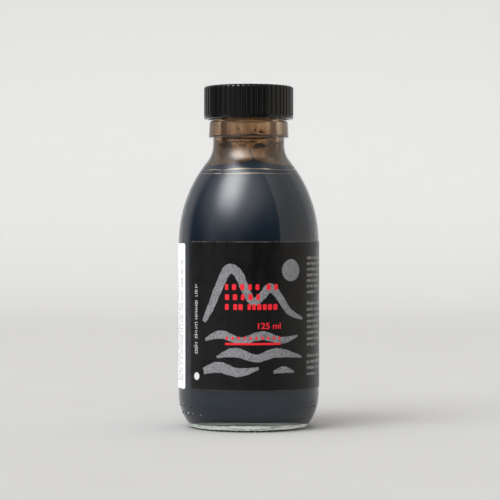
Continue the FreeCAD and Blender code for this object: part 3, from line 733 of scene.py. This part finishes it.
rng = random.Random(11)
s = Solid()
path, widths = [], []
for i in range(25):
    k = i / 24
    z = 91.6 + 5.0 * k
    path.append((6.5 - 3.2 * k**1.4 + 1.3 * math.sin(5.5 * k), z))
    widths.append(0.10 + 0.50 * (1 - k) ** 3 + 0.10 * max(0.0, math.sin(9 * k)))
run(s, path, widths, 0.14)
for theta0, z0, length, w in ((-24, 91.2, 2.0, 0.14), (31, 91.0, 1.4, 0.10), (58, 91.4, 2.6, 0.12), (-62, 91.0, 1.8, 0.10), (118, 91.1, 3.4, 0.16), (190, 91.3, 2.4, 0.14), (236, 91.0, 3.9, 0.12)):
    pts = [(theta0 + 1.5 * math.sin(3.0 * i / 9 + theta0), z0 + length * i / 9) for i in range(10)]
    run(s, pts, [w * (1.6 - 1.1 * i / 9) for i in range(10)], 0.08)
s.make("ink_runs", INK, "bottle", smooth=60)

s = Solid()
for theta, z, hw, hh in (
    (-28, 99.3, 1.5, 0.20), (-14, 99.5, 0.9, 0.16), (-3, 99.2, 1.2, 0.15), (9, 99.4, 1.5, 0.17),
    (21, 98.2, 1.7, 0.62), (30, 97.6, 0.9, 0.40), (14, 97.2, 0.5, 0.25), (-44, 97.0, 0.8, 0.42), (-37, 98.8, 0.6, 0.3),
    (46, 98.9, 1.1, 0.22), (-60, 98.6, 1.2, 0.3), (66, 99.0, 1.2, 0.26),
    (12, 103.3, 0.22, 0.42), (27, 102.4, 0.9, 0.13),
    (100, 98.8, 1.8, 0.4), (128, 99.1, 1.3, 0.3), (160, 98.7, 2.0, 0.45), (195, 99.2, 1.4, 0.3), (228, 98.6, 1.6, 0.5), (262, 99.0, 1.2, 0.3),
    (150, 103.0, 0.9, 0.5), (205, 104.0, 0.8, 0.3), (250, 102.3, 1.2, 0.3),
):
    blotch(s, rng, theta, z, hw, hh)
# small spatters and dried bubbles
for _ in range(90):
    theta, z = rng.uniform(-180, 180), rng.triangular(92.5, 108.5, 99.0)
    q = rng.uniform(0.05, 0.16)
    blotch(s, rng, theta, z, q * rng.uniform(0.8, 1.8), q, 0.04)
s.make("ink_residue", RESIDUE, "bottle", smooth=60)


# ---------------------------------------------------------------------- prints
PRINT_IN, PRINT_OUT = -0.05, 0.016
OVERPRINT = 0.030


def patch(s, points, base_r=None, out=PRINT_OUT):
    """A closed slab on the label from a grid of (u, v)."""
    base = base_r or LABEL_R
    top = [[wrapped(u, v, base + out, base) for u, v in row] for row in points]
    bottom = [[wrapped(u, v, base + PRINT_IN, base) for u, v in row] for row in points]
    s.sheet(top, bottom)


def bar(s, u0, v0, u1, v1, base_r=None, out=PRINT_OUT):
    """A bar, split so that it follows the curve of the label."""
    n = max(1, int(math.ceil(abs(u1 - u0) / 0.5)))
    patch(s, [[(u0 + (u1 - u0) * i / n, v0), (u0 + (u1 - u0) * i / n, v1)] for i in range(n + 1)], base_r, out)


def block(s, u0, v0, u1, v1, corner=0.3, base_r=None, out=PRINT_OUT):
    """A bar with rounded corners."""
    rows = []
    n = max(10, int((u1 - u0) / 0.4))
    for i in range(n + 1):
        # the ends are sampled more closely than the middle
        k = 0.5 - 0.5 * math.cos(math.pi * i / n)
        u = u0 + (u1 - u0) * k
        d = max(0.0, corner - min(u - u0, u1 - u))
        cut = corner - math.sqrt(max(0.0, corner * corner - d * d))
        rows.append([(u, v0 + cut), (u, v1 - cut)])
    patch(s, rows, base_r, out)


def disc(s, cu, cv, radius, rng=None, base_r=None, out=PRINT_OUT):
    """A filled disc, a little uneven when rng is given."""
    wob = [rng.uniform(-1, 1) for _ in range(4)] if rng else (0, 0, 0, 0)
    rows = []
    n = 30
    for i in range(n + 1):
        t = math.pi * (0.02 + 0.96 * i / n)
        up = radius * math.sin(t) * (1 + 0.05 * wob[0] * math.sin(3 * t) + 0.04 * wob[1] * math.sin(7 * t))
        dn = radius * math.sin(t) * (1 + 0.05 * wob[2] * math.sin(4 * t) + 0.04 * wob[3] * math.sin(6 * t))
        u = cu - radius * math.cos(t)
        rows.append([(u, cv - dn + (up + dn) * j / 4) for j in range(5)])
    patch(s, rows, base_r, out)


def brush(s, path, widths, rng, across=6, ragged=0.05):
    """A brush stroke through (u, v) points with half-widths in mm; its sides are a little ragged."""
    fine, wide = [], []
    steps = 10
    n = len(path)
    for i in range(n - 1):
        p0, p1, p2, p3 = path[max(i - 1, 0)], path[i], path[i + 1], path[min(i + 2, n - 1)]
        for j in range(steps):
            t = j / steps
            fine.append(tuple(0.5 * (2 * p1[k] + (p2[k] - p0[k]) * t + (2 * p0[k] - 5 * p1[k] + 4 * p2[k] - p3[k]) * t * t + (3 * p1[k] - p0[k] - 3 * p2[k] + p3[k]) * t**3) for k in (0, 1)))
            wide.append(widths[i] + (widths[i + 1] - widths[i]) * (t * t * (3 - 2 * t)))
    fine.append(path[-1])
    wide.append(widths[-1])
    grid = []
    pa, pb = rng.uniform(0, 6), rng.uniform(0, 6)
    for i, (u, v) in enumerate(fine):
        a, b = fine[max(i - 1, 0)], fine[min(i + 1, len(fine) - 1)]
        du, dv = b[0] - a[0], b[1] - a[1]
        k = math.hypot(du, dv) or 1.0
        nu, nv = -dv / k, du / k
        wa = wide[i] * (1 + ragged * math.sin(1.3 * i + pa) + 0.6 * ragged * rng.uniform(-1, 1))
        wb = wide[i] * (1 + ragged * math.sin(1.7 * i + pb) + 0.6 * ragged * rng.uniform(-1, 1))
        row = []
        for j in range(across + 1):
            q = -wa + (wa + wb) * j / across
            row.append((u + nu * q, v + nv * q))
        grid.append(row)
    patch(s, grid)


# grey brush strokes: two hills, a sun over them and water at their foot
rng = random.Random(5)
s = Solid()
for path, half in (
    (
        [(-16.4, 37.8), (-13.4, 43.0), (-10.2, 50.0), (-7.0, 55.6), (-3.6, 54.2), (-1.0, 48.4), (1.6, 44.6), (4.6, 46.6), (7.4, 49.4), (10.6, 46.4), (14.6, 41.2), (20.6, 38.6)],
        [0.85, 1.35, 1.55, 1.65, 1.55, 1.40, 1.25, 1.35, 1.45, 1.30, 1.15, 0.45],
    ),
    ([(-15.8, 31.6), (-9.6, 33.5), (-2.6, 31.5), (4.6, 33.2), (11.6, 31.5), (18.2, 32.9)], [0.55, 1.40, 1.15, 1.45, 1.15, 0.40]),
    ([(-11.2, 25.8), (-4.6, 27.5), (2.6, 25.5), (9.8, 27.3), (20.2, 25.6)], [0.45, 1.60, 1.30, 1.60, 0.40]),
    ([(-16.6, 20.9), (-10.4, 22.4), (-3.6, 20.7), (3.4, 22.1)], [1.15, 1.85, 1.50, 0.50]),
    ([(8.6, 20.7), (12.4, 21.5), (16.6, 20.6)], [0.50, 1.15, 0.35]),
):
    brush(s, path, half, rng, 6, 0.045)
disc(s, 15.4, 55.2, 3.7, rng)
s.make("print_motif", GREY, "bottle", smooth=30)


def lettering(name, text, u0, v0, height, width, material, bold=0.0, tracking=1.0):
    """Plain capitals as closed slabs that follow the label; fits the given width in mm."""
    curve = bpy.data.curves.new(name + "_curve", "FONT")
    curve.body = text
    curve.size = 1.0
    curve.space_character = tracking
    curve.offset = bold
    curve.resolution_u = 4
    curve.extrude = 0.5
    holder = bpy.data.objects.new(name + "_curve", curve)
    bpy.context.scene.collection.objects.link(holder)
    bpy.context.view_layer.update()
    mesh = bpy.data.meshes.new_from_object(holder.evaluated_get(bpy.context.evaluated_depsgraph_get()))
    bpy.data.objects.remove(holder)
    bpy.data.curves.remove(curve)
    bm = bmesh.new()
    bm.from_mesh(mesh)
    bmesh.ops.remove_doubles(bm, verts=bm.verts, dist=1e-5)
    lo = [min(v.co[i] for v in bm.verts) for i in range(3)]
    hi = [max(v.co[i] for v in bm.verts) for i in range(3)]
    kx, ky = width / (hi[0] - lo[0]), height / (hi[1] - lo[1])
    for v in bm.verts:
        v.co = Vector(((v.co.x - lo[0]) * kx, (v.co.y - lo[1]) * ky, (v.co.z - lo[2]) / (hi[2] - lo[2])))
    x = 0.5
    while x < width:
        bmesh.ops.bisect_plane(bm, geom=bm.verts[:] + bm.edges[:] + bm.faces[:], dist=1e-6, plane_co=(x, 0, 0), plane_no=(1, 0, 0))
        x += 0.5
    for v in bm.verts:
        r = LABEL_R + PRINT_IN + (OVERPRINT - PRINT_IN) * v.co.z
        p = wrapped(u0 + v.co.x, v0 + v.co.y, r)
        v.co = Vector(p) * MM
    bmesh.ops.recalc_face_normals(bm, faces=bm.faces)
    out = bpy.data.meshes.new(name)
    bm.to_mesh(out)
    bm.free()
    bpy.data.meshes.remove(mesh)
    obj = bpy.data.objects.new(name, out)
    bpy.context.scene.collection.objects.link(obj)
    out.materials.append(material)
    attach(obj, "bottle")
    return obj


lettering("print_volume", "125 ml", 3.15, 35.40, 2.10, 8.1, RED, 0.018, 1.0)
# three rows of plain blocks, a rule and a row of lozenges over it
rng = random.Random(3)
s = Solid()
for v, words in ((48.62, (5, 2)), (45.20, (5,)), (41.88, (1, 2, 6))):
    u = -8.15
    for count in words:
        for _ in range(count):
            w = rng.choice((1.15, 1.30, 1.45))
            block(s, u, v, u + w, v + 1.98, 0.32, None, OVERPRINT)
            u += w + (1.32 if v > 42 else 0.48)
        u += 1.15
bar(s, -8.15, 29.98, 11.3, 30.72, None, OVERPRINT)
u = -8.0
while u < 11.1:
    patch(s, [[(u, 32.3 - 0.02), (u, 32.3 + 0.02)], [(u + 0.5, 32.3 - 0.75), (u + 0.5, 32.3 + 0.75)], [(u + 1.0, 32.3 - 0.02), (u + 1.0, 32.3 + 0.02)]], None, OVERPRINT)
    u += 2.03
s.make("print_red", RED, "bottle")


def greek(s, rng, start, across, length, height, along_u=True, base_r=None, sign=1, weight=0.17):
    """One line of unreadable small print: groups of short strokes in place of words."""
    t = 0.0
    pen = height * weight

    def put(a0, b0, a1, b1):
        if along_u:
            bar(s, start + sign * a0, across + b0, start + sign * a1, across + b1, base_r)
        else:
            bar(s, across - b0, start + sign * a0, across - b1, start + sign * a1, base_r)

    while t < length - height:
        for _ in range(rng.randint(2, 8)):
            w = height * rng.choice((0.5, 0.62, 0.62, 0.8))
            if t + w > length:
                break
            kind = rng.random()
            tall = height * (1.45 if kind > 0.8 else 1.0)
            put(t, 0, t + pen, tall)
            if w > height * 0.55:
                put(t + w - pen, 0 if kind < 0.6 else height * 0.5, t + w, height)
                put(t + pen * 0.9, height - pen if kind < 0.45 else height * 0.42, t + w - pen * 0.9, height if kind < 0.45 else height * 0.42 + pen)
            if kind < 0.3:
                put(t + pen * 0.9, 0, t + w - pen * 0.9, pen)
            t += w + height * 0.22
        t += height * 0.55


rng = random.Random(23)
s = Solid()
# the small print at the right of the label, three blocks
for top, count, pitch in ((58.9, 7, 1.95), (43.2, 8, 2.0), (25.3, 4, 2.07)):
    for i in range(count):
        full = 15.5 if i < count - 1 else rng.uniform(6, 12)
        greek(s, rng, 23.3, top - i * pitch, full - rng.uniform(0, 1.2), 0.84, weight=0.15)
# a second column further round
for top, count in ((58.6, 9), (38.6, 6)):
    for i in range(count):
        greek(s, rng, 43.6, top - i * 1.95, 14.0 - rng.uniform(0, 2.5), 0.84, weight=0.15)
s.make("print_side", FAINT, "bottle")

s = Solid()
# the upright line at the left edge
greek(s, rng, 26.8, -19.35, 24.2, 1.30, along_u=False, weight=0.13)
# a plain dot below it
disc(s, -19.8, 19.0, 1.30)
s.make("print_small", WHITE, "bottle")

# the sticker's print: upright lines and a block of plain bars
rng = random.Random(31)
s = Solid()
edge_u = math.radians(-62.6) * STICKER_R
for k, (gap, h, a, b) in enumerate(((2.1, 1.15, 17.0, 60.5), (4.5, 0.95, 17.0, 44.0), (6.6, 0.95, 17.0, 52.0), (9.6, 1.2, 24.0, 56.0))):
    greek(s, rng, a, edge_u - gap, b - a, h, along_u=False, base_r=STICKER_R)
z = 20.0
while z < 46.0:
    w = rng.choice((0.22, 0.22, 0.44, 0.66))
    bar(s, edge_u - 13.6, z, edge_u - 24.2, z + w, STICKER_R)
    z += w + rng.choice((0.22, 0.33, 0.44))
s.make("print_sticker", SLATE, "bottle")

# ------------------------------------------------------------ floor and light
def stage():
    """A pale floor that sweeps up into a wall far behind the bottle."""
    bm = bmesh.new()
    prof = [(-4.0, 0.0), (-1.0, 0.0), (0.0, 0.0), (0.9, 0.0)]
    for i in range(1, 25):
        a = math.pi / 2 * i / 24
        prof.append((0.9 + 0.7 * math.sin(a), 0.7 - 0.7 * math.cos(a)))
    prof.append((1.6, 3.2))
    rows = []
    for x in (-4.0, -2.0, -0.5, 0.5, 2.0, 4.0):
        rows.append([bm.verts.new((x, y, z)) for y, z in prof])
    for a, b in zip(rows[:-1], rows[1:]):
        for i in range(len(prof) - 1):
            bm.faces.new((a[i], b[i], b[i + 1], a[i + 1]))
    mesh = bpy.data.meshes.new("studio_sweep")
    bm.to_mesh(mesh)
    bm.free()
    mesh.shade_smooth()
    mesh.materials.append(floor_material())
    obj = bpy.data.objects.new("studio_sweep", mesh)
    bpy.context.scene.collection.objects.link(obj)


stage()


def world():
    w = bpy.data.worlds.new("studio")
    bpy.context.scene.world = w
    w.use_nodes = True
    nt = w.node_tree
    nt.nodes.clear()
    out = nt.nodes.new("ShaderNodeOutputWorld")
    tc = nt.nodes.new("ShaderNodeTexCoord")
    d = tc.outputs["Generated"]
    sp = nt.nodes.new("ShaderNodeSeparateXYZ")
    nt.links.new(d, sp.inputs[0])
    x, y, z = sp.outputs
    # azimuth from the front (-Y), positive to the right, and elevation, in degrees
    az = maths(nt, "MULTIPLY", maths(nt, "ARCTAN2", x, maths(nt, "MULTIPLY", y, -1.0)), 180 / math.pi)
    el = maths(nt, "MULTIPLY", maths(nt, "ARCSINE", z), 180 / math.pi)

    def dot(v):
        n = nt.nodes.new("ShaderNodeVectorMath")
        n.operation = "DOT_PRODUCT"
        n.inputs[1].default_value = v
        nt.links.new(d, n.inputs[0])
        return n.outputs["Value"]

    def lobe(a, e, half_h, half_v, power=2.0):
        """A soft box: 1 at its centre, one half at the given half sizes in degrees."""
        a, e = math.radians(a), math.radians(e)
        c = (math.sin(a) * math.cos(e), -math.cos(a) * math.cos(e), math.sin(e))
        h = (math.cos(a), math.sin(a), 0.0)
        t = (-math.sin(a) * math.sin(e), math.cos(a) * math.sin(e), math.cos(e))
        front = maths(nt, "MAXIMUM", dot(c), 0.05)
        p = maths(nt, "ABSOLUTE", maths(nt, "DIVIDE", dot(h), front))
        q = maths(nt, "ABSOLUTE", maths(nt, "DIVIDE", dot(t), front))
        p = maths(nt, "POWER", maths(nt, "DIVIDE", p, math.tan(math.radians(half_h))), power)
        q = maths(nt, "POWER", maths(nt, "DIVIDE", q, math.tan(math.radians(half_v))), power)
        return maths(nt, "EXPONENT", maths(nt, "MULTIPLY", maths(nt, "ADD", p, q), -0.693))

    def scaled(value, rgb):
        c = nt.nodes.new("ShaderNodeCombineXYZ")
        for i in range(3):
            nt.links.new(maths(nt, "MULTIPLY", value, rgb[i]), c.inputs[i])
        return c.outputs[0]

    parts = []
    # the key: a big soft source high on the left, cut off by its frame at the top
    frame_top = ranged(nt, el, 64, 74, 1, 0.06, True)
    parts.append(scaled(maths(nt, "MULTIPLY", lobe(-43, 50, 16.0, 18.5, 2.4), frame_top), (8.3, 8.4, 8.6)))
    parts.append(scaled(maths(nt, "MULTIPLY", lobe(-44, 46, 36, 30, 2.0), frame_top), (1.6, 1.6, 1.63)))
    # the card at the right, warm and even, with a clean edge towards the camera
    card = maths(nt, "MULTIPLY", ranged(nt, az, 51.5, 54.0, 0, 1, True), ranged(nt, el, 55, 75, 1, 0, True))
    card = maths(nt, "MULTIPLY", card, ranged(nt, az, 104, 120, 1, 0, True))
    parts.append(scaled(card, (0.62, 0.565, 0.50)))
    # a paler ceiling in front, to the right of the key
    parts.append(scaled(maths(nt, "MULTIPLY", lobe(14, 48, 30, 20, 2.2), frame_top), (0.78, 0.76, 0.76)))
    # the room
    base = ranged(nt, el, 30, 62, 0.085, 0.14, True)
    parts.append(scaled(base, (1.0, 0.99, 0.98)))
    # what the paper sweep shows beyond its soft edges
    behind = maths(nt, "MULTIPLY", ranged(nt, maths(nt, "ABSOLUTE", az), 104, 124, 0, 1, True), ranged(nt, el, 48, 66, 1, 0, True))
    parts.append(scaled(behind, (0.66, 0.655, 0.645)))
    low = maths(nt, "MULTIPLY", lobe(-64, 4, 13, 16, 3.0), 1.0)
    parts.append(scaled(low, (0.20, 0.21, 0.23)))
    total = parts[0]
    for p in parts[1:]:
        a = nt.nodes.new("ShaderNodeVectorMath")
        a.operation = "ADD"
        nt.links.new(total, a.inputs[0])
        nt.links.new(p, a.inputs[1])
        total = a.outputs[0]
    lit = nt.nodes.new("ShaderNodeBackground")
    nt.links.new(total, lit.inputs["Color"])
    lit.inputs["Strength"].default_value = 1.0
    seen = nt.nodes.new("ShaderNodeBackground")
    nt.links.new(mixed(nt, ranged(nt, el, -9, 5, 0, 1, True), (0.70, 0.692, 0.678), (0.775, 0.767, 0.753)), seen.inputs["Color"])
    path = nt.nodes.new("ShaderNodeLightPath")
    mix = nt.nodes.new("ShaderNodeMixShader")
    nt.links.new(path.outputs["Is Camera Ray"], mix.inputs[0])
    nt.links.new(lit.outputs[0], mix.inputs[1])
    nt.links.new(seen.outputs[0], mix.inputs[2])
    nt.links.new(mix.outputs[0], out.inputs["Surface"])


world()

fill = bpy.data.lights.new("soft_top", "AREA")
fill.shape = "RECTANGLE"
fill.size, fill.size_y = 2.4, 1.8
fill.energy = 28.0
fill.color = (1.0, 0.995, 0.985)
holder = bpy.data.objects.new("soft_top", fill)
holder.location = (0.0, 0.1, 1.9)
holder.visible_glossy = False
bpy.context.scene.collection.objects.link(holder)

# --------------------------------------------------------------------- camera
cam = bpy.data.cameras.new("camera")
cam.sensor_width = 36.0
cam.lens = 144.9
cam.clip_start, cam.clip_end = 0.05, 20.0
camera = bpy.data.objects.new("camera", cam)
camera.location = (0.00045, -0.704, 0.0689)
camera.rotation_euler = (math.radians(90 - 0.57), 0, 0)
bpy.context.scene.collection.objects.link(camera)
bpy.context.scene.camera = camera

bpy.context.scene.view_settings.view_transform = "Standard"
bpy.context.scene.view_settings.look = "None"

bpy.context.view_layer.update()
